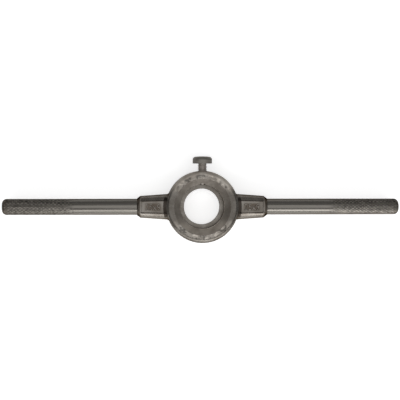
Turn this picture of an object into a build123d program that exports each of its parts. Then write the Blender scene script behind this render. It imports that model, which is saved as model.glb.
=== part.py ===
from build123d import *
from math import tan, radians
import os

# Die stock for round threading dies, lying flat with the die seat facing up.
# X runs along the handles, +Y points to the clamping screw, +Z runs out of the die seat.
# The origin is the centre of the seat's floor, where a die's back face lies.
# All sizes are millimetres.

# Die seat, and the ledge and floor below it
seat_diameter = 25.0
seat_depth = 8.8
seat_lead_in = 3.35
seat_lead_depth = 2.6
ledge_width = 2.3
floor_thickness = 6.2
hole_edge = 1.0

# Ring around the seat
ring_wall = 7.75
ring_rounding_width = 2.3
ring_rounding_depth = 2.2
ring_back_edge = 0.6

# Tapered bosses that carry the handles. Their length runs from the ring's rim to the nose.
boss_length = 14.75
boss_draft = 4.0
boss_corner = 5.0
boss_front_drop = 1.1
root_fillet = 2.0
nose_length = 1.7
nose_rim = 0.25
end_wall = 1.6

# Shallow panel on the front of each boss
panel_root_land = 1.4
panel_end_land = 0.7
panel_root_width = 7.0
panel_end_width = 6.4
panel_depth = 0.6
panel_corner = 0.8

# Handle bars
overall_length = 224.0
handle_diameter = 9.0
handle_fit = 0.01
socket_depth = 15.5
handle_end_rounding = 2.4
handle_inner_edge = 0.5

# Clamping screw, drawn clear of the seat. It can go in by its travel until the head is down.
screw_diameter = 5.0
screw_fit = 0.05
screw_travel = 4.0
screw_tip_gap = 0.1
screw_hole_mouth = 0.5
head_gap = 0.15
head_diameter = 10.9
head_height = 4.0
head_dome = 1.1
slot_width = 1.2
slot_depth = 1.6
point_diameter = 1.2
point_angle = 90.0

# Ring and seat, worked out
seat_radius = seat_diameter / 2
seat_rim_radius = seat_radius + seat_lead_in
hole_radius = seat_radius - ledge_width
ring_radius = seat_radius + ring_wall
ring_front = seat_depth
ring_back = -floor_thickness
ring_middle = (ring_front + ring_back) / 2

# Handles and bosses, worked out. A boss's height is in Y, and its depth is in Z.
handle_radius = handle_diameter / 2
handle_end = overall_length / 2
handle_axis = Axis((0, 0, ring_middle), (1, 0, 0))
end_height = handle_diameter + 2 * end_wall
root_depth = ring_front - ring_back - 2 * boss_front_drop
boss_slope = tan(radians(boss_draft))
boss_start = (seat_rim_radius + ring_radius) / 2
boss_end = ring_radius + boss_length
nose_end = boss_end + nose_length
nose_radius = handle_radius + nose_rim
socket_floor = nose_end - socket_depth
panel_start = ring_radius + panel_root_land
panel_length = boss_length - panel_root_land - panel_end_land

# Screw, worked out. Its axis lies at half the seat's depth, where a die has its dimple.
screw_radius = screw_diameter / 2
screw_hole_radius = screw_radius + screw_fit
screw_height = seat_depth / 2
screw_tip = seat_radius + screw_tip_gap
head_seat = ring_radius + screw_travel + head_gap
head_top = head_seat + head_height
head_radius = head_diameter / 2
dome_radius = (head_radius**2 + head_dome**2) / (2 * head_dome)
point_radius = point_diameter / 2
point_length = (screw_radius - point_radius) / tan(radians(point_angle / 2))
screw_axis = Axis((0, 0, screw_height), (0, 1, 0))
along_screw = Plane(origin=(0, 0, screw_height), x_dir=(0, 1, 0), z_dir=(0, 0, 1))


def boss_size(reach):
    """Height and depth of a boss at a distance from the ring's axis, on one straight taper."""
    height = end_height + 2 * boss_slope * (boss_end - reach)
    depth = root_depth + 2 * boss_slope * (ring_radius - reach)
    return height, depth


def across_handle(side, reach):
    """Plane across one handle, facing outwards, with its origin on the handle's axis."""
    return Plane(origin=(side * reach, 0, ring_middle), x_dir=(0, side, 0), z_dir=(side, 0, 0))


def along_handle(side):
    """Plane through one handle's axis: local x runs outwards, local y is the radius."""
    return Plane(origin=(0, 0, ring_middle), x_dir=(side, 0, 0), z_dir=(0, -side, 0))


def boss_front(side):
    """Plane on the front face of one boss at the panel's start, with local x down the taper."""
    height, depth = boss_size(panel_start)
    origin = (side * panel_start, 0, ring_middle + depth / 2)
    return Plane(origin=origin, x_dir=(side, 0, -boss_slope), z_dir=(side * boss_slope, 0, 1))


def across_screw(reach):
    """Plane across the clamping screw, facing outwards, with its origin on the screw's axis."""
    return Plane(origin=(0, reach, screw_height), x_dir=(1, 0, 0), z_dir=(0, 1, 0))


# The cast body starts as a thick disc. Its front rim is rounded and its back rim is chamfered.
with BuildPart() as stock_body:
    with BuildSketch(Plane.YZ):
        with BuildLine():
            Polyline(
                (ring_radius, ring_front - ring_rounding_depth),
                (ring_radius, ring_back + ring_back_edge),
                (ring_radius - ring_back_edge, ring_back),
                (0, ring_back),
                (0, ring_front),
                (ring_radius - ring_rounding_width, ring_front),
            )
            EllipticalCenterArc(
                (ring_radius - ring_rounding_width, ring_front - ring_rounding_depth),
                x_radius=ring_rounding_width,
                y_radius=ring_rounding_depth,
                start_angle=0,
                arc_size=90,
            )
        make_face()
    revolve(axis=Axis.Z)

    # Two bosses with a rounded square section taper away from the disc and blend into it.
    for side in (1, -1):
        with BuildSketch(across_handle(side, boss_start)):
            RectangleRounded(*boss_size(boss_start), boss_corner)
        extrude(amount=nose_end - boss_start, taper=boss_draft)
        fillet(stock_body.edges(Select.NEW), radius=root_fillet)

    # Each boss ends in a turned conical nose.
    nose_slope = (end_height / 2 - nose_radius) / nose_length
    cut_inside = boss_end - nose_length
    cut_radius = nose_radius + nose_slope * (nose_end - cut_inside)
    for side in (1, -1):
        with BuildSketch(along_handle(side)):
            with BuildLine():
                Polyline(
                    (nose_end, nose_radius),
                    (nose_end, cut_radius),
                    (cut_inside, cut_radius),
                    close=True,
                )
            make_face()
        revolve(axis=handle_axis, mode=Mode.SUBTRACT)

    # The stepped hole: a wide conical mouth, the flat-floored seat and a smaller hole for the work.
    with BuildSketch(Plane.YZ):
        with BuildLine():
            Polyline(
                (0, ring_front),
                (seat_rim_radius, ring_front),
                (seat_radius, ring_front - seat_lead_depth),
                (seat_radius, 0),
                (hole_radius, 0),
                (hole_radius, ring_back + hole_edge),
                (hole_radius + hole_edge, ring_back),
                (0, ring_back),
                close=True,
            )
        make_face()
    revolve(axis=Axis.Z, mode=Mode.SUBTRACT)

    # The screw hole runs through the wall into the seat.
    with Locations(across_screw(ring_radius).location):
        CounterSinkHole(
            radius=screw_hole_radius,
            counter_sink_radius=screw_hole_radius + screw_hole_mouth,
            depth=ring_wall + ledge_width,
            counter_sink_angle=90,
        )

    # A blind socket in each boss takes a handle bar.
    for side in (1, -1):
        with Locations(across_handle(side, nose_end).location):
            Hole(radius=handle_radius + handle_fit, depth=socket_depth)

    # A shallow panel, narrowing outwards, lies in the front of each boss.
    for side in (1, -1):
        with BuildSketch(boss_front(side)):
            with BuildLine():
                Polyline(
                    (0, -panel_root_width / 2),
                    (panel_length, -panel_end_width / 2),
                    (panel_length, panel_end_width / 2),
                    (0, panel_root_width / 2),
                    close=True,
                )
            make_face()
            fillet(vertices(), radius=panel_corner)
        extrude(amount=panel_depth, both=True, mode=Mode.SUBTRACT)

stock_body.part.label = "stock_body"

os.makedirs("parts", exist_ok=True)
export_step(stock_body.part, "parts/stock_body.step")

# Two round bars with domed ends sit on the floors of the sockets.
for name, side in (("right_handle", 1), ("left_handle", -1)):
    with BuildPart() as handle:
        with BuildSketch(along_handle(side)):
            with Locations((socket_floor, 0)):
                Rectangle(handle_end - socket_floor, handle_radius, align=(Align.MIN, Align.MIN))
            outer_corner = vertices().group_by(Axis.Y)[-1].sort_by(Axis.X)[-1]
            fillet(outer_corner, radius=handle_end_rounding)
            inner_corner = vertices().group_by(Axis.Y)[-1].sort_by(Axis.X)[0]
            chamfer(inner_corner, length=handle_inner_edge)
        revolve(axis=handle_axis)
    handle.part.label = name
    export_step(handle.part, f"parts/{name}.step")

# The screw is turned from one bar: a conical point, a plain shank and a domed slotted head.
with BuildPart() as clamping_screw:
    with BuildSketch(along_screw):
        with BuildLine():
            Polyline(
                (head_top, 0),
                (screw_tip, 0),
                (screw_tip, point_radius),
                (screw_tip + point_length, screw_radius),
                (head_seat, screw_radius),
                (head_seat, head_radius),
                (head_top - head_dome, head_radius),
            )
            RadiusArc((head_top - head_dome, head_radius), (head_top, 0), dome_radius)
        make_face()
    revolve(axis=screw_axis)
    with BuildSketch(across_screw(head_top)):
        Rectangle(head_diameter, slot_width)
    extrude(amount=-slot_depth, mode=Mode.SUBTRACT)

clamping_screw.part.label = "clamping_screw"
export_step(clamping_screw.part, "parts/clamping_screw.step")
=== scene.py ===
import math

import bmesh
import bpy
import numpy as np
from mathutils import Matrix, Vector


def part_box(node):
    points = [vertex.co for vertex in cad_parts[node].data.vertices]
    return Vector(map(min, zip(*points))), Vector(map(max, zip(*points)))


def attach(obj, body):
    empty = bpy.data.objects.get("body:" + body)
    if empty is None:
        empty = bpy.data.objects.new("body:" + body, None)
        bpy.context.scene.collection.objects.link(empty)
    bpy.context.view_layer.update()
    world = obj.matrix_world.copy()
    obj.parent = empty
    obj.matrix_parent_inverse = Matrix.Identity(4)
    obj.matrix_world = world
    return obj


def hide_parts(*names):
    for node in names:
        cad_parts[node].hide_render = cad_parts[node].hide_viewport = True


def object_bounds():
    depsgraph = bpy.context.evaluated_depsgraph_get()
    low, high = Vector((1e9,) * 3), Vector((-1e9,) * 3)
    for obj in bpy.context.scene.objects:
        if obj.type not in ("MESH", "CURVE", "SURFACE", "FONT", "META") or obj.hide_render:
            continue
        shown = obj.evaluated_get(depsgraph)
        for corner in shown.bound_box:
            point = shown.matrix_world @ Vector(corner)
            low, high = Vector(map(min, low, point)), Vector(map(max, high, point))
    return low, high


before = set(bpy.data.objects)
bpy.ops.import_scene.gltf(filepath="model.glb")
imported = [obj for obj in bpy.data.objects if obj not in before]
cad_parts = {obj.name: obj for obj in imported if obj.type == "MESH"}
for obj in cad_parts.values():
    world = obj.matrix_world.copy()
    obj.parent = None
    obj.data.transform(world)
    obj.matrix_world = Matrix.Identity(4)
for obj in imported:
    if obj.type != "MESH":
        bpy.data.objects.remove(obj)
cad_low, cad_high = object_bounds()

MM = 0.001

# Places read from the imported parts. The handles' axis and the screw's axis are their boxes' middles.
body_low, body_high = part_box("stock_body")
bar_low, bar_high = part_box("right_handle")
screw_low, screw_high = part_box("clamping_screw")
handle_height = (bar_low.z + bar_high.z) / 2
handle_radius = (bar_high.z - bar_low.z) / 2
handle_inner = bar_low.x
handle_outer = bar_high.x
screw_height = (screw_low.z + screw_high.z) / 2
head_radius = (screw_high.z - screw_low.z) / 2
screw_tip = screw_low.y
head_top = screw_high.y

# Handle bars: a domed end, a knurled grip and a plain bar with a small edge inside the socket
bar_sides = 192
plain_rings = 12
end_rings = 16
end_rounding = 2.4 * MM
inner_edge = 0.5 * MM
first_plain_ring = 2.0 * MM
knurl_start = 71 * MM
knurl_fade = 5 * MM
knurl_end_fade = 1.44 * MM
knurl_teeth = 18
knurl_angle = 36
knurl_depth = 0.24 * MM
knurl_first_strength = 0.55
knurl_land = 0.42
knurl_step = 0.15 * MM

# Clamping screw: an M5 coarse thread with a conical point, an undercut and a slotted head
thread_radius = 2.5 * MM
thread_pitch = 0.8 * MM
thread_depth = 0.45 * MM
thread_crest = 0.35
thread_root = 0.12
thread_sides = 72
thread_step = 0.05 * MM
undercut_length = 0.24 * MM
undercut_depth = 0.27 * MM
point_radius = 0.6 * MM
point_angle = 90
head_height = 4.0 * MM
head_dome = 0.35 * MM
head_rounding = 1.5 * MM
head_under_edge = 0.25 * MM
head_under_bend = 0.075 * MM
head_lines = 15
line_points = 41
slot_width = 1.2 * MM
slot_depth = 1.6 * MM

# Cast body: the ring's front, the seat's wide mouth, and the tapered panels on the bosses
ring_radius = body_high.y
ring_front = body_high.z
rim_rounding = 2.3 * MM
mouth_radius = 15.85 * MM
mouth_floor = ring_front - 2.6 * MM
seat_radius = 12.5 * MM
boss_angle = 4
boss_slope = math.tan(math.radians(boss_angle))
boss_front = handle_height + 6.4 * MM
boss_end_half = 6.1 * MM
nose_start = ring_radius + 14.75 * MM
panel_start = ring_radius + 1.4 * MM
panel_end = ring_radius + 14.05 * MM
panel_root_half = 3.5 * MM
panel_end_half = 3.2 * MM
panel_depth = 0.6 * MM

# The size of the die that fits, in raised numbers on both panels
size_marks = "25x9"
marks_height = 3.6 * MM
marks_width = 8.4 * MM
marks_relief = 0.42 * MM
marks_edge = 0.2 * MM
marks_edge_steps = 2
marks_curve_steps = 6
marks_reach = 27.8 * MM

# Points nearer to each other than the first length are one point. Edges below the second are dropped.
same_point = 1e-6
shortest_edge = 1e-7


def new_object(name, data):
    """An object at the origin, in the scene."""
    made = bpy.data.objects.new(name, data)
    bpy.context.scene.collection.objects.link(made)
    return made


def mend_mesh(mesh, drop_short_edges):
    """Merges doubled points, drops edges of no length where asked, and turns the faces outwards."""
    work = bmesh.new()
    work.from_mesh(mesh)
    bmesh.ops.remove_doubles(work, verts=work.verts, dist=same_point)
    if drop_short_edges:
        bmesh.ops.dissolve_degenerate(work, edges=work.edges, dist=shortest_edge)
    bmesh.ops.recalc_face_normals(work, faces=work.faces)
    work.to_mesh(mesh)
    work.free()


def mesh_piece(name, points, faces, smooth_angle=40):
    """A new closed piece from arrays of points and four-cornered faces. It shades smoothly across
    edges that bend by less than the angle."""
    mesh = bpy.data.meshes.new(name)
    mesh.from_pydata(points.reshape(-1, 3).tolist(), [], faces.tolist())
    mend_mesh(mesh, drop_short_edges=True)
    piece = new_object(name, mesh)
    mesh.shade_smooth()
    mesh.set_sharp_from_angle(angle=math.radians(smooth_angle))
    return piece


def mesh_points(mesh):
    """A mesh's points as rows of x, y and z."""
    points = np.empty(len(mesh.vertices) * 3, np.float32)
    mesh.vertices.foreach_get("co", points)
    return points.reshape(-1, 3)


def grid_faces(rows, columns, closed=False):
    """Four-cornered faces between neighbouring points of a grid. A closed grid joins its last column
    to its first."""
    index = np.arange(rows * columns).reshape(rows, columns)
    if closed:
        index = np.hstack([index, index[:, :1]])
    corners = [index[:-1, :-1], index[:-1, 1:], index[1:, 1:], index[1:, :-1]]
    return np.stack(corners, axis=-1).reshape(-1, 4)


def turned_grid(along, sides):
    """A turned piece's grid: the place along its axis and the angle around it, a row for each place."""
    angle = np.linspace(0, 2 * math.pi, sides, endpoint=False)
    return np.meshgrid(along, angle, indexing="ij")


def rounded_corner(along, radius, size, steps):
    """A quarter circle that ends a bar. It starts on the bar's side and turns in towards the axis, up
    to the given place along it."""
    turn = np.linspace(0, math.pi / 2, steps)
    return along - size + size * np.sin(turn), radius - size + size * np.cos(turn)


def saw(phase):
    """A triangular wave of period 1 that is 0 in a groove and 1 halfway between two grooves."""
    return 1 - np.abs(2 * (phase % 1) - 1)


def knurl_groove(along, angle):
    """Diamond knurl: the deeper of two sets of V grooves, one winding left and one right around the
    bar. It is 0 on the flat top of a diamond and 1 in the bottom of a groove."""
    winding = math.tan(math.radians(knurl_angle)) / handle_radius
    leftwards = knurl_teeth * (angle + winding * along) / (2 * math.pi)
    rightwards = knurl_teeth * (angle - winding * along) / (2 * math.pi)
    wall = np.minimum(saw(leftwards), saw(rightwards)) / (1 - knurl_land)
    return 1 - np.clip(wall, 0, 1)


def handle_bar(name, side):
    """A bar turned about the handles' axis: x runs outwards, and the radius is that of the profile at
    x, less the knurl's depth where the grip is. The knurl fades in over a short stretch, its grooves
    deepen evenly along the grip, and it fades out on the domed end."""
    inner_x = [handle_inner, handle_inner, handle_inner + inner_edge]
    inner_r = [0, handle_radius - inner_edge, handle_radius]
    end_x, end_r = rounded_corner(handle_outer, handle_radius, end_rounding, end_rings)
    plain_x = np.linspace(handle_inner + first_plain_ring, knurl_start - knurl_step, plain_rings)
    grip_x = np.arange(knurl_start, end_x[0], knurl_step)
    side_r = np.full(len(plain_x) + len(grip_x), handle_radius)
    x = np.concatenate([inner_x, plain_x, grip_x, end_x, [handle_outer]])
    radius = np.concatenate([inner_r, side_r, end_r, [0]])
    along, turn = turned_grid(x, bar_sides)

    fade_in = np.clip((x - knurl_start) / knurl_fade, 0, 1)
    fade_out = np.clip((end_x[0] + knurl_end_fade - x) / knurl_end_fade, 0, 1)
    way_out = (x - knurl_start) / (handle_outer - knurl_start)
    growth = knurl_first_strength + (1 - knurl_first_strength) * way_out
    strength = fade_in * fade_out * growth
    groove = knurl_groove(along, turn) * strength[:, None]
    r = np.maximum(radius[:, None] - knurl_depth * groove, 0)
    y = r * np.cos(turn)
    z = handle_height + r * np.sin(turn)
    points = np.stack([side * along, y, z], axis=-1)
    piece = mesh_piece(name, points, grid_faces(len(x), bar_sides, closed=True))
    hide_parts(name.replace("bar", "handle"))
    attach(piece, "stock")
    return piece


def note_grooves(bar):
    """Stores on each point of a bar how deep it lies in the grip's grooves, for the shade painted into
    them: 0 on the surface, and 1 from the depth where the painted shade is full on."""
    points = mesh_points(bar.data)
    radius = np.hypot(points[:, 1], points[:, 2] - handle_height)
    reach = np.abs(points[:, 0])
    on_grip = (reach > knurl_start) & (reach < handle_outer - end_rounding)
    depth = np.clip((handle_radius - radius) / dark_groove_depth, 0, 1)
    attribute = bar.data.attributes.new("groove", "FLOAT", "POINT")
    attribute.data.foreach_set("value", np.where(on_grip, depth, 0).astype(np.float32))


def threaded_shank():
    """The screw's shank: the radius follows a V thread that rises one pitch for each turn, cut back
    by the cone of the point at one end and faded out into an undercut below the head at the other."""
    seat = head_top - head_height
    steps = np.arange(screw_tip, seat, thread_step)
    reach = np.concatenate([[screw_tip], steps, [seat, seat]])
    along, turn = turned_grid(reach, thread_sides)
    groove = 1 - saw(along / thread_pitch - turn / (2 * math.pi))
    groove = np.clip((groove - thread_crest) / (1 - thread_crest - thread_root), 0, 1)
    fade = np.clip((seat - undercut_length - along) / thread_pitch, 0, 1)
    r = thread_radius - thread_depth * groove * fade - undercut_depth * (1 - fade)
    cone = point_radius + (along - screw_tip) * math.tan(math.radians(point_angle / 2))
    r = np.minimum(r, cone)
    r[0] = 0
    r[-1] = 0
    points = np.stack([r * np.cos(turn), along, screw_height + r * np.sin(turn)], axis=-1)
    faces = grid_faces(len(reach), thread_sides, closed=True)
    return mesh_piece("screw_shank", points, faces, smooth_angle=60)


def head_profile(r):
    """Height of the head's top at a distance from its axis: a low dome that drops with the square of
    the distance, less a quarter circle where the rim is rounded over."""
    rim = np.clip((r - (head_radius - head_rounding)) / head_rounding, 0, 1)
    dome = head_dome * (1 - (r / head_radius) ** 2)
    return head_top - head_dome + dome - head_rounding * (1 - np.sqrt(1 - rim**2))


def screw_head():
    """The slotted head. Its top is a sheet of lines parallel to the slot, each from rim to rim, and
    the lines at the slot's walls are there twice, once on the top and once on the slot's floor. Its
    side is a band that follows the ends of those lines, and it leaves the slot's mouth open."""
    half_slot = slot_width / 2
    floor = head_top - slot_depth
    seat = head_top - head_height

    # The lines lie closer together towards the rim, and their points closer towards their ends.
    spread = np.sin(np.linspace(0, 1, head_lines) * math.pi / 2)
    outer = half_slot + (head_radius - half_slot) * spread
    z = np.concatenate([-outer[::-1], [-half_slot], [half_slot], outer])
    on_floor = np.zeros(len(z), bool)
    on_floor[head_lines:head_lines + 2] = True
    run = np.sin(np.linspace(-1, 1, line_points) * math.pi / 2)
    chord = np.sqrt(np.maximum(head_radius**2 - z**2, 0))
    x = chord[:, None] * run[None, :]
    across = np.repeat(z[:, None], line_points, axis=1)
    r = np.minimum(np.hypot(x, across), head_radius)
    y = np.where(on_floor[:, None], floor, head_profile(r))
    top = np.stack([x, y, screw_height + across], axis=-1).reshape(-1, 3)
    top_faces = grid_faces(*x.shape)

    # The side has one column for each line's end on the right, then back along the left.
    rim_x = np.concatenate([chord, -chord[::-1]])
    rim_z = np.concatenate([z, z[::-1]])
    rim_y = np.concatenate([y[:, -1], y[::-1, 0]])
    levels = [
        (1, rim_y),
        (1, floor),
        (1, seat + head_under_edge),
        (1 - head_under_bend / head_radius, seat + head_under_bend),
        (1 - head_under_edge / head_radius, seat),
        (0, seat),
    ]
    share = np.array([level[0] for level in levels])[:, None]
    height = np.stack([np.broadcast_to(level[1], rim_x.shape) for level in levels])
    side = np.stack([rim_x * share, height, screw_height + rim_z * share], axis=-1).reshape(-1, 3)
    side_faces = grid_faces(*height.shape, closed=True) + len(top)
    points = np.concatenate([top, side])
    faces = np.concatenate([top_faces, side_faces])
    return mesh_piece("screw_head", points, faces, smooth_angle=35)


def raised_marks(name, side):
    """Plain raised numbers in the middle of a panel's floor, made from the built-in letters. They are
    scaled to the marks' height and width and read upright with the screw at the top. Their height
    above the back drops by the boss's slope times their distance from the ring's rim."""
    curve = bpy.data.curves.new(name, "FONT")
    curve.body = size_marks
    curve.align_x = "CENTER"
    curve.align_y = "CENTER"
    curve.resolution_u = marks_curve_steps
    letters = new_object(name, curve)
    bpy.context.view_layer.update()
    wide = letters.dimensions.x
    high = letters.dimensions.y
    scale = marks_height / high
    curve.extrude = marks_relief / scale
    curve.bevel_depth = marks_edge / scale
    curve.bevel_resolution = marks_edge_steps
    curve.offset = -marks_edge / scale
    bpy.context.view_layer.update()
    graph = bpy.context.evaluated_depsgraph_get()
    mesh = bpy.data.meshes.new_from_object(letters.evaluated_get(graph))
    bpy.data.objects.remove(letters)

    points = mesh_points(mesh)
    points -= (points.max(axis=0) + points.min(axis=0)) / 2
    points *= (marks_width / wide, scale, scale)
    along = marks_reach + side * points[:, 0]
    floor = boss_front - panel_depth - boss_slope * (along - ring_radius)
    placed = np.stack([side * along, points[:, 1], floor + points[:, 2]], axis=-1)
    mesh.vertices.foreach_set("co", placed.astype(np.float32).ravel())
    mesh.update()
    mend_mesh(mesh, drop_short_edges=False)
    piece = new_object(name, mesh)
    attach(piece, "stock")
    return piece


def node(tree, kind, **values):
    """A shader node with its settings and the plain values of its sockets."""
    made = tree.nodes.new(kind)
    for key, value in values.items():
        if hasattr(made, key):
            setattr(made, key, value)
        else:
            made.inputs[key.replace("_", " ")].default_value = value
    return made


def ramp(tree, source, stops):
    """A colour ramp on a value: stops are pairs of a position and a grey value or a colour."""
    made = tree.nodes.new("ShaderNodeValToRGB")
    made.color_ramp.interpolation = "EASE"
    elements = made.color_ramp.elements
    while len(elements) < len(stops):
        elements.new(0.5)
    for element, (place, tone) in zip(elements, stops):
        colour = (tone, tone, tone) if isinstance(tone, float) else tone
        element.position = place
        element.color = (*colour, 1)
    tree.links.new(source, made.inputs["Fac"])
    return made.outputs["Color"]


def noise(tree, coordinates, scale, detail=3.0, stretch=None):
    """Noise with about so many features for each metre, drawn out along an axis where the finish has
    a direction."""
    if stretch:
        mapping = node(tree, "ShaderNodeMapping")
        mapping.inputs["Scale"].default_value = stretch
        tree.links.new(coordinates, mapping.inputs["Vector"])
        coordinates = mapping.outputs["Vector"]
    made = node(tree, "ShaderNodeTexNoise", Scale=scale, Detail=detail)
    tree.links.new(coordinates, made.inputs["Vector"])
    return made.outputs["Fac"]


def between(tree, pattern, tones):
    """Runs from the first tone to the second over the range that a noise mostly keeps to."""
    return ramp(tree, pattern, list(zip(noise_range, tones)))


def bump(tree, height, distance, below=None):
    """A bump of a real height, laid over another one where that is given."""
    made = node(tree, "ShaderNodeBump", Strength=1.0, Distance=distance)
    tree.links.new(height, made.inputs["Height"])
    if below:
        tree.links.new(below, made.inputs["Normal"])
    return made.outputs["Normal"]


def maths(tree, operation, *values):
    """One arithmetic node on sockets or plain numbers."""
    made = node(tree, "ShaderNodeMath", operation=operation)
    for socket, value in zip(made.inputs, values):
        if isinstance(value, bpy.types.NodeSocket):
            tree.links.new(value, socket)
        else:
            socket.default_value = value
    return made.outputs[0]


def blended(tree, how, colour, other, share):
    """A colour mixed with or multiplied by another where the share is 1, and left alone where it is
    0. The other colour is a socket, or plain red, green and blue."""
    made = node(tree, "ShaderNodeMix", data_type="RGBA", blend_type=how)
    tree.links.new(share, made.inputs["Factor"])
    tree.links.new(colour, made.inputs[6])
    if isinstance(other, bpy.types.NodeSocket):
        tree.links.new(other, made.inputs[7])
    else:
        made.inputs[7].default_value = (*other, 1)
    return made.outputs[2]


def rise(tree, value, start, end):
    """A soft step: 0 below the start, 1 above the end. With the start above the end it falls."""
    made = node(tree, "ShaderNodeMapRange", interpolation_type="SMOOTHSTEP", clamp=True)
    made.inputs["From Min"].default_value = min(start, end)
    made.inputs["From Max"].default_value = max(start, end)
    made.inputs["To Min"].default_value = float(start > end)
    made.inputs["To Max"].default_value = float(start < end)
    tree.links.new(value, made.inputs["Value"])
    return made.outputs["Result"]


def plain_measures(tree, place):
    """Where a point lies in the object's own coordinates: x, y and z, how far out it is along the
    bars, how far to either side of their axis, and its distance from the ring's axis."""
    parts = node(tree, "ShaderNodeSeparateXYZ")
    tree.links.new(place, parts.inputs[0])
    x, y, z = parts.outputs
    squares = maths(tree, "ADD", maths(tree, "MULTIPLY", x, x), maths(tree, "MULTIPLY", y, y))
    return {
        "x": x,
        "y": y,
        "z": z,
        "out": maths(tree, "ABSOLUTE", x),
        "aside": maths(tree, "ABSOLUTE", y),
        "radius": maths(tree, "SQRT", squares),
    }


def gap(tree, value, other):
    """The distance between two values."""
    return maths(tree, "ABSOLUTE", maths(tree, "SUBTRACT", value, other))


def tapering(tree, out, half, reach, slope):
    """Half of a width that shrinks outwards by the slope and has the given value at one place."""
    return maths(tree, "SUBTRACT", half + slope * reach, maths(tree, "MULTIPLY", out, slope))


def body_measures(tree, place):
    """The plain measures, and where a point lies on a boss: its distance inside the nearer end of the
    panel, from the panel's long side, from the painted highlight beside it and from the marks' middle."""
    found = plain_measures(tree, place)
    out = found["out"]
    narrowing = (panel_root_half - panel_end_half) / (panel_end - panel_start)
    panel_half = tapering(tree, out, panel_root_half, panel_start, narrowing)
    boss_half = tapering(tree, out, boss_end_half, nose_start, boss_slope)
    from_root = maths(tree, "SUBTRACT", out, panel_start)
    from_nose = maths(tree, "SUBTRACT", panel_end, out)
    inwards = maths(tree, "SUBTRACT", boss_half, found["aside"])
    found["inside_panel_end"] = maths(tree, "MINIMUM", from_root, from_nose)
    found["from_panel_side"] = gap(tree, panel_half, found["aside"])
    found["from_highlight"] = gap(tree, inwards, highlight_inset)
    found["from_marks"] = gap(tree, out, marks_reach)
    return found


def mask(tree, measures, edges):
    """1 inside a place and 0 outside it: the product of the soft steps at all of its edges."""
    steps = [rise(tree, measures[measure], start, end) for measure, start, end in edges]
    inside = steps[0]
    for step in steps[1:]:
        inside = maths(tree, "MULTIPLY", inside, step)
    return inside


def tinted(tree, tone, measures, tints):
    """A colour multiplied by a share of itself in each of several places."""
    for edges, share in tints:
        tone = blended(tree, "MULTIPLY", tone, share, mask(tree, measures, edges))
    return tone


# Soft edges on the cast body: a measure, where a place begins to show, and where it shows fully
on_front = ("z", 3.0 * MM, 4.0 * MM)
near_side = ("y", -4 * MM, -12 * MM)
far_side = ("y", 4 * MM, 13 * MM)
on_face = ("radius", ring_radius - 0.6 * rim_rounding, ring_radius - 1.1 * rim_rounding)
on_rim = ("radius", ring_radius - 1.2 * rim_rounding, ring_radius - 0.8 * rim_rounding)
# Where the painted highlight beside each panel lies: its distance in from the boss's side, and half its
# width
highlight_inset = 1.75 * MM
highlight_half = 0.45 * MM

# Places on the cast body, each a list of the edges that it lies inside
seat_mouth = [
    ("radius", seat_radius - 0.8 * MM, seat_radius - 0.2 * MM),
    ("radius", mouth_radius + 0.05 * MM, mouth_radius - 0.05 * MM),
    on_front,
]
# Painted light: the seat's shaded wall is lightened in the colour
seat_wall = [
    ("radius", seat_radius - 0.08 * MM, seat_radius - 0.03 * MM),
    ("radius", seat_radius + 0.08 * MM, seat_radius + 0.03 * MM),
    ("z", 0.02 * MM, 0.06 * MM),
    ("z", mouth_floor + 0.02 * MM, mouth_floor - 0.02 * MM),
]
ring = [
    ("radius", mouth_radius - 0.05 * MM, mouth_radius + 0.05 * MM),
    ("z", ring_front - 1.6 * rim_rounding, ring_front - 0.7 * rim_rounding),
    ("radius", ring_radius + 0.15 * MM, ring_radius - 0.05 * MM),
]
ring_ends = [*ring, ("aside", 6 * MM, 11 * MM)]
ring_far_end = [*ring_ends, far_side]
# Painted highlight: the ring's rim on the far side is brightened in the colour
far_rim_highlight = [*ring_far_end, on_rim]
rough_ends = [*ring_ends, on_face]
# Painted shade: the corner where a boss meets the ring is darkened in the colour
boss_root = [
    ("radius", ring_radius - 0.25 * MM, ring_radius + 0.05 * MM),
    ("radius", ring_radius + 2.0 * MM, ring_radius + 1.6 * MM),
    ("aside", 7.0 * MM, 4.5 * MM),
    on_front,
]
# Painted shade: the conical noses of the bosses are darkened in the colour
boss_nose = [("out", nose_start - 0.05 * MM, nose_start + 0.15 * MM)]
along_panel = [("inside_panel_end", -0.1 * MM, 0.2 * MM), on_front]
# Painted shade: a dark line along the panel's long sides, where a shadow gap would be
panel_outline = [*along_panel, ("from_panel_side", 0.4 * MM, 0.15 * MM)]
panel_highlight = [
    *along_panel,
    ("from_highlight", 1.4 * highlight_half, 0.6 * highlight_half),
    ("y", 0, -1 * MM),
]
# Painted shade: the panel floor around the raised marks is darkened in the colour
around_marks = [
    *along_panel,
    ("from_marks", 0.62 * marks_width, 0.4 * marks_width),
    ("aside", 0.75 * marks_height, 0.4 * marks_height),
]

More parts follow.
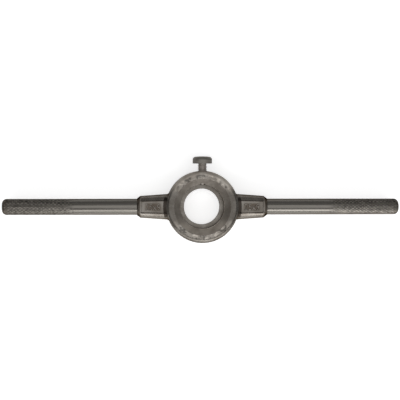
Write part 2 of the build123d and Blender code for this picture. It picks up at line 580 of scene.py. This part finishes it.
# How the cast body's tone changes in each place, as a share of red, green and blue
body_tints = [
    (seat_mouth, (1.22, 1.205, 1.19)),
    # painted light: the seat's mouth is lighter on the near side, where the key lamps fall
    ([*seat_mouth, near_side], (2.1, 2.1, 2.1)),
    # painted light on the seat's wall
    (seat_wall, (1.9, 1.9, 1.9)),
    (ring, (0.72, 0.72, 0.72)),
    (ring_ends, (1.2, 1.2, 1.2)),
    ([*rough_ends, near_side], (1.75, 1.75, 1.75)),
    (ring_far_end, (1.6, 1.6, 1.6)),
    (rough_ends, (1.9, 1.9, 1.9)),
    # painted highlight on the ring's far rim
    (far_rim_highlight, (1.9, 1.9, 1.9)),
    # painted shade in the corner between a boss and the ring
    (boss_root, (0.22, 0.2, 0.19)),
    # painted shade on the bosses' noses
    (boss_nose, (0.4, 0.38, 0.36)),
    # painted shade along the panel's edges
    (panel_outline, (0.3, 0.27, 0.25)),
    # painted highlight on a stripe beside the panel, on the near side
    (panel_highlight, (1.45, 1.45, 1.45)),
    # painted shade around the marks
    (around_marks, (0.55, 0.5, 0.46)),
]

# How much duller the cast body is in some places
body_dullness = [(seat_mouth, 0.36), (far_rim_highlight, 0.3)]

# Places on the bars: the grip up to the domed end, the domed end, and the near side of one grip, where
# light is painted
before_end = ("out", handle_outer - 0.5 * end_rounding, handle_outer - 1.2 * end_rounding)
grip = [("out", knurl_start, knurl_start + 2 * knurl_fade), before_end]
domed_end = [("out", handle_outer - 1.5 * end_rounding, handle_outer - 0.9 * end_rounding)]
grip_painted_light = [
    ("x", knurl_start, knurl_start + 2 * knurl_fade),
    ("y", -1.8 * MM, -2.3 * MM),
    before_end,
]
bar_tints = [
    (domed_end, (0.6, 0.58, 0.56)),
    # painted light on the near side of the right grip
    (grip_painted_light, (1.42, 1.42, 1.42)),
]
dark_groove_depth = 0.16 * MM

# Tones and roughness of the metals, each from its first value to its second over the noise's range.
# Streaks and wear are stops of their own: a place in the noise, and a share of the tone.
noise_range = (0.3, 0.7)
cast_tones = [(0.158, 0.142, 0.124), (0.228, 0.211, 0.190)]
cast_gloss = [0.23, 0.34]
cast_streaks = [(0.36, 0.22), (0.47, 0.52), (0.53, 0.52), (0.64, 0.85)]
marks_tones = [(0.19, 0.170, 0.150), (0.27, 0.251, 0.228)]
marks_gloss = 0.28
drawn_tones = [(0.162, 0.151, 0.134), (0.220, 0.207, 0.188)]
drawn_gloss = [0.2, 0.3]
# Painted shade in the knurl's grooves
groove_shade_colour = (0.092, 0.083, 0.072)
grip_wear = [(0.36, 0.6), (0.6, 1.2)]
head_tones = [(0.180, 0.167, 0.148), (0.250, 0.235, 0.213)]
# Painted light: the thread is the head's blackened steel, made lighter
thread_tones = [(0.360, 0.330, 0.300), (0.520, 0.480, 0.445)]
turned_gloss = [0.46, 0.58]
dark_edges = (0.2, 0.18, 0.16, 1)

# Heights of the fine relief in the finishes
cast_swell = 0.05 * MM
cast_dents = 0.16 * MM
cast_pits = 0.012 * MM
drawn_lines = 0.004 * MM
turning_marks = 0.006 * MM


def new_metal(name):
    """An empty metal material: its tree, its shader and the object's own coordinates."""
    material = bpy.data.materials.new(name)
    material.use_nodes = True
    tree = material.node_tree
    shader = tree.nodes["Principled BSDF"]
    shader.inputs["Metallic"].default_value = 1.0
    place = node(tree, "ShaderNodeTexCoord").outputs["Object"]
    return material, tree, shader, place


def cast_gunmetal():
    """The cast body: warm dark grey, tumbled smooth, with soft patches, fine pits and uneven gloss.
    Shade is painted into the colour in the corner where a boss meets the ring, along the edge of a
    panel, around the marks and on the bosses' noses, and a highlight is painted on a stripe beside
    each panel. The seat's mouth is duller, and light is painted on its wall and its near side. The
    ring's far rim is duller and carries a painted highlight, and the ring is rougher on its face,
    near the screw and opposite it."""
    material, tree, shader, place = new_metal("cast_gunmetal")
    measures = body_measures(tree, place)
    rough = mask(tree, measures, rough_ends)
    tone = between(tree, noise(tree, place, scale=170, detail=4.0), cast_tones)
    streaks = ramp(tree, noise(tree, place, scale=430, detail=2.0), cast_streaks)
    tone = blended(tree, "MULTIPLY", tone, streaks, rough)
    tone = tinted(tree, tone, measures, body_tints)
    tree.links.new(tone, shader.inputs["Base Color"])

    gloss = between(tree, noise(tree, place, scale=900, detail=4.0), cast_gloss)
    for edges, dullness in body_dullness:
        duller = maths(tree, "MULTIPLY", mask(tree, measures, edges), dullness)
        gloss = maths(tree, "ADD", gloss, duller)
    tree.links.new(gloss, shader.inputs["Roughness"])
    shader.inputs["Specular Tint"].default_value = dark_edges

    swell = bump(tree, noise(tree, place, scale=260, detail=2.0), cast_swell)
    dents = maths(tree, "MULTIPLY", noise(tree, place, scale=460, detail=2.0), rough)
    dented = bump(tree, dents, cast_dents, swell)
    pits = bump(tree, noise(tree, place, scale=1800, detail=3.0), cast_pits, dented)
    tree.links.new(pits, shader.inputs["Normal"])
    return material


def worn_gunmetal():
    """The raised marks: the body's metal, rubbed brighter."""
    material, tree, shader, place = new_metal("worn_gunmetal")
    tone = between(tree, noise(tree, place, scale=900, detail=3.0), marks_tones)
    tree.links.new(tone, shader.inputs["Base Color"])
    shader.inputs["Roughness"].default_value = marks_gloss
    return material


def drawn_steel():
    """The bars: drawn along their length, dark and polished, with shade painted darker into the grooves
    of the knurl, and darker on the domed ends. The grips are unevenly worn, and light is painted on
    the near side of the right one."""
    material, tree, shader, place = new_metal("drawn_steel")
    measures = plain_measures(tree, place)
    lines = noise(tree, place, scale=900, detail=3.0, stretch=(0.02, 1, 1))
    groove = node(tree, "ShaderNodeAttribute", attribute_name="groove").outputs["Fac"]
    worn = ramp(tree, noise(tree, place, scale=850, detail=3.0), grip_wear)
    tone = between(tree, lines, drawn_tones)
    # painted shade in the knurl's grooves
    tone = blended(tree, "MIX", tone, groove_shade_colour, groove)
    tone = blended(tree, "MULTIPLY", tone, worn, mask(tree, measures, grip))
    tone = tinted(tree, tone, measures, bar_tints)
    tree.links.new(tone, shader.inputs["Base Color"])
    tree.links.new(between(tree, lines, drawn_gloss), shader.inputs["Roughness"])
    shader.inputs["Specular Tint"].default_value = dark_edges
    tree.links.new(bump(tree, lines, drawn_lines), shader.inputs["Normal"])
    return material


def blackened_steel(name, tones):
    """The screw: turned and blackened, dull, with fine turning marks around its axis."""
    material, tree, shader, place = new_metal(name)
    marks = noise(tree, place, scale=1200, detail=3.0, stretch=(0.1, 1, 0.1))
    tree.links.new(between(tree, marks, tones), shader.inputs["Base Color"])
    tree.links.new(between(tree, marks, turned_gloss), shader.inputs["Roughness"])
    tree.links.new(bump(tree, marks, turning_marks), shader.inputs["Normal"])
    return material


def paint(piece, material):
    """Gives a piece one material, in the slots that it has or in a new one."""
    if piece.material_slots:
        for spot in piece.material_slots:
            spot.material = material
    else:
        piece.data.materials.append(material)


# The object
body_finish = cast_gunmetal()
bar_finish = drawn_steel()
head_finish = blackened_steel("blackened_head", head_tones)
# the thread's finish has painted light: lighter tones than the head's
thread_finish = blackened_steel("thread_painted_light", thread_tones)
marks_finish = worn_gunmetal()
paint(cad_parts["stock_body"], body_finish)
for name, side in (("right_bar", 1), ("left_bar", -1)):
    bar = handle_bar(name, side)
    note_grooves(bar)
    paint(bar, bar_finish)
    paint(raised_marks(name.replace("bar", "marks"), side), marks_finish)
head = screw_head()
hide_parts("clamping_screw")
shank = threaded_shank()
for piece, finish in ((head, head_finish), (shank, thread_finish)):
    paint(piece, finish)
    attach(piece, "screw")


# The studio: a white floor in a room that is brighter on the near side, and three soft lamps
floor_size = 12.0
floor_gap = 0.02 * MM
floor_tone = (0.85, 0.85, 0.85, 1)
floor_lift = 0.6
near_lift = 0.8
far_lift = 0.15
floor_fade = 10 * MM
room_sides = [(-1.0, 0.75), (-0.85, 0.6), (-0.5, 0.38), (0.0, 0.34), (0.4, 0.25), (1.0, 0.3)]
lamp_distance = 0.7
lamps = [
    {
        "name": "key_right",
        "tilt": 57,
        "width": 0.32,
        "left": -0.04,
        "right": 0.7,
        "brightness": 2.7,
    },
    {
        "name": "key_left",
        "tilt": 57,
        "width": 0.32,
        "left": -0.6,
        "right": -0.04,
        "brightness": 1.8,
    },
    {
        "name": "overhead",
        "tilt": -3.5,
        "width": 0.54,
        "left": -0.7,
        "right": 0.7,
        "brightness": 0.72,
    },
]

# The camera: it looks straight down from a little to the left and a little above the object's
# middle, at a picture whose pixels have the given size at the height of the bars' axis.
picture_width = 400
pixel_at_axis = 0.566 * MM
camera_distance = 0.5
camera_aim = Vector((-1.16 * MM, 3.78 * MM, handle_height))
lean_left = 2.7
lean_up = 1.4
sensor_width = 36


def white_floor():
    """A large white sheet just below the object, on which its soft shadow falls. Camera rays see it
    lifted to white by a little light of its own. Mirror rays see it lifted too, more on the near side
    than beyond the bars, as the room is brighter there."""
    bpy.ops.mesh.primitive_plane_add(size=floor_size, location=(0, 0, cad_low.z - floor_gap))
    floor = bpy.context.object
    floor.name = "floor"
    material = bpy.data.materials.new("white_sheet")
    material.use_nodes = True
    tree = material.node_tree
    shader = tree.nodes["Principled BSDF"]
    shader.inputs["Base Color"].default_value = floor_tone
    shader.inputs["Roughness"].default_value = 1.0
    shader.inputs["Specular IOR Level"].default_value = 0.0
    path = node(tree, "ShaderNodeLightPath").outputs
    place = node(tree, "ShaderNodeSeparateXYZ")
    tree.links.new(node(tree, "ShaderNodeTexCoord").outputs["Object"], place.inputs[0])
    near = rise(tree, place.outputs["Y"], floor_fade, -floor_fade)
    nearer = maths(tree, "MULTIPLY", near, near_lift - far_lift)
    mirror_lift = maths(tree, "ADD", nearer, far_lift)
    seen = maths(tree, "MULTIPLY", path["Is Camera Ray"], floor_lift)
    mirrored = maths(tree, "MULTIPLY", path["Is Glossy Ray"], mirror_lift)
    shader.inputs["Emission Color"].default_value = (1, 1, 1, 1)
    tree.links.new(maths(tree, "ADD", seen, mirrored), shader.inputs["Emission Strength"])
    floor.data.materials.append(material)


def room():
    """The world: its brightness follows the direction's y, from bright on the near side to dim behind
    the screw."""
    world = bpy.data.worlds.new("room")
    bpy.context.scene.world = world
    world.use_nodes = True
    tree = world.node_tree
    parts = node(tree, "ShaderNodeSeparateXYZ")
    tree.links.new(node(tree, "ShaderNodeTexCoord").outputs["Generated"], parts.inputs[0])
    halfway = node(tree, "ShaderNodeMapRange")
    halfway.inputs["From Min"].default_value = -1
    halfway.inputs["From Max"].default_value = 1
    tree.links.new(parts.outputs["Y"], halfway.inputs["Value"])
    stops = [((y + 1) / 2, tone) for y, tone in room_sides]
    background = tree.nodes["Background"]
    tree.links.new(ramp(tree, halfway.outputs["Result"], stops), background.inputs["Color"])
    background.inputs["Strength"].default_value = 1.0


def soft_lamp(name, tilt, width, left, right, brightness):
    """A lamp that lies along the bars, above the object and tilted from straight overhead towards the
    near side. It runs from one x to another, and its brightness is 1 where it looks white."""
    length = right - left
    data = bpy.data.lights.new(name, "AREA")
    data.shape = "RECTANGLE"
    data.size = length
    data.size_y = width
    data.energy = brightness * math.pi * length * width
    lamp = new_object(name, data)
    angle = math.radians(tilt)
    middle = (left + right) / 2
    lamp.location = (middle, -math.sin(angle) * lamp_distance, math.cos(angle) * lamp_distance)
    lamp.rotation_euler = (angle, 0, 0)
    lamp.visible_camera = False


def overhead_camera():
    """The camera stands back from its aim along a line that leans left and up, with the screw at the
    top of the picture. Its focal length is to the sensor's width as its distance is to the width that
    the picture covers."""
    data = bpy.data.cameras.new("camera")
    camera = new_object("camera", data)
    left = math.radians(lean_left)
    up = math.radians(lean_up)
    back = Vector((-math.sin(left) * math.cos(up), math.sin(up), math.cos(left) * math.cos(up)))
    right = Vector((0, 1, 0)).cross(back).normalized()
    turn = Matrix((right, back.cross(right), back)).transposed()
    camera.matrix_world = Matrix.Translation(camera_aim + back * camera_distance) @ turn.to_4x4()
    data.sensor_width = sensor_width
    data.lens = sensor_width * camera_distance / (picture_width * pixel_at_axis)
    data.clip_start = 0.01
    data.clip_end = 20
    return camera


white_floor()
room()
for values in lamps:
    soft_lamp(**values)
bpy.context.scene.camera = overhead_camera()
bpy.context.scene.view_settings.view_transform = "Standard"
